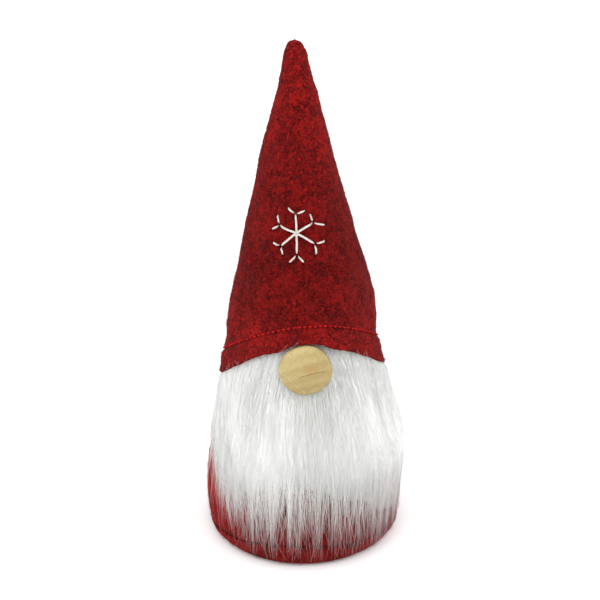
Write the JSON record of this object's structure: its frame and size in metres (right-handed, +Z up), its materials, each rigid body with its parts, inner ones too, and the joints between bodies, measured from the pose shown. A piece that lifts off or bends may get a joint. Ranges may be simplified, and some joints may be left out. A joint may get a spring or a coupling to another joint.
{
  "type": "tomte gnome figurine",
  "caption": "Standing felt gnome with a weighted stuffed body, a long faux-fur beard, a wooden button nose and a tall pull-on cone hat with a stitched snowflake.",
  "frame": {"origin": "centre of the flat underside of the felt base, on the surface the gnome stands on", "axes": "+Z up towards the tip of the hat; -Y is the front, where the nose and beard are; +X is to the viewer's right from the front"},
  "size_m": [0.1067, 0.1057, 0.2535],
  "materials": {
    "hat_felt": "matte",
    "body_felt": "matte",
    "red_thread": "matte",
    "fur": "satin",
    "fur_backing": "matte",
    "white_thread": "matte",
    "flake_floss": "satin",
    "nose_wood": "satin",
    "hot_glue": "satin",
    "board": "matte",
    "bag_cloth": "matte",
    "pellets": "matte",
    "fibre_fill": "matte"
  },
  "bodies": {
    "figure": {"base_felt": "body_felt", "base_board": "board", "body_felt": "body_felt", "base_topstitch_thread": "red_thread", "body_back_seam_thread": "red_thread", "gather_thread": "red_thread", "pellet_bag": "bag_cloth", "pellet_fill": "pellets", "body_stuffing": "fibre_fill", "beard_backing": "fur_backing", "beard_pile": "fur", "beard_seam_thread": "white_thread", "nose": "nose_wood", "nose_glue_pad": "hot_glue"},
    "hat": {"hat_felt": "hat_felt", "hat_hem_thread": "red_thread", "hat_back_seam_thread": "red_thread", "hat_stuffing": "fibre_fill", "snowflake_arm_1": "flake_floss", "snowflake_arm_2": "flake_floss", "snowflake_arm_3": "flake_floss", "snowflake_arm_4": "flake_floss", "snowflake_arm_5": "flake_floss", "snowflake_arm_6": "flake_floss", "snowflake_fork_1a": "flake_floss", "snowflake_fork_1b": "flake_floss", "snowflake_fork_2a": "flake_floss", "snowflake_fork_2b": "flake_floss", "snowflake_fork_3a": "flake_floss", "snowflake_fork_3b": "flake_floss", "snowflake_fork_4a": "flake_floss", "snowflake_fork_4b": "flake_floss", "snowflake_fork_5a": "flake_floss", "snowflake_fork_5b": "flake_floss", "snowflake_fork_6a": "flake_floss", "snowflake_fork_6b": "flake_floss"}
  },
  "joints": [
    {"name": "hat_lift", "type": "slide", "parent": "figure", "child": "hat", "axis": [0, 0, 1], "range_m": [0, 0.085]}
  ]
}
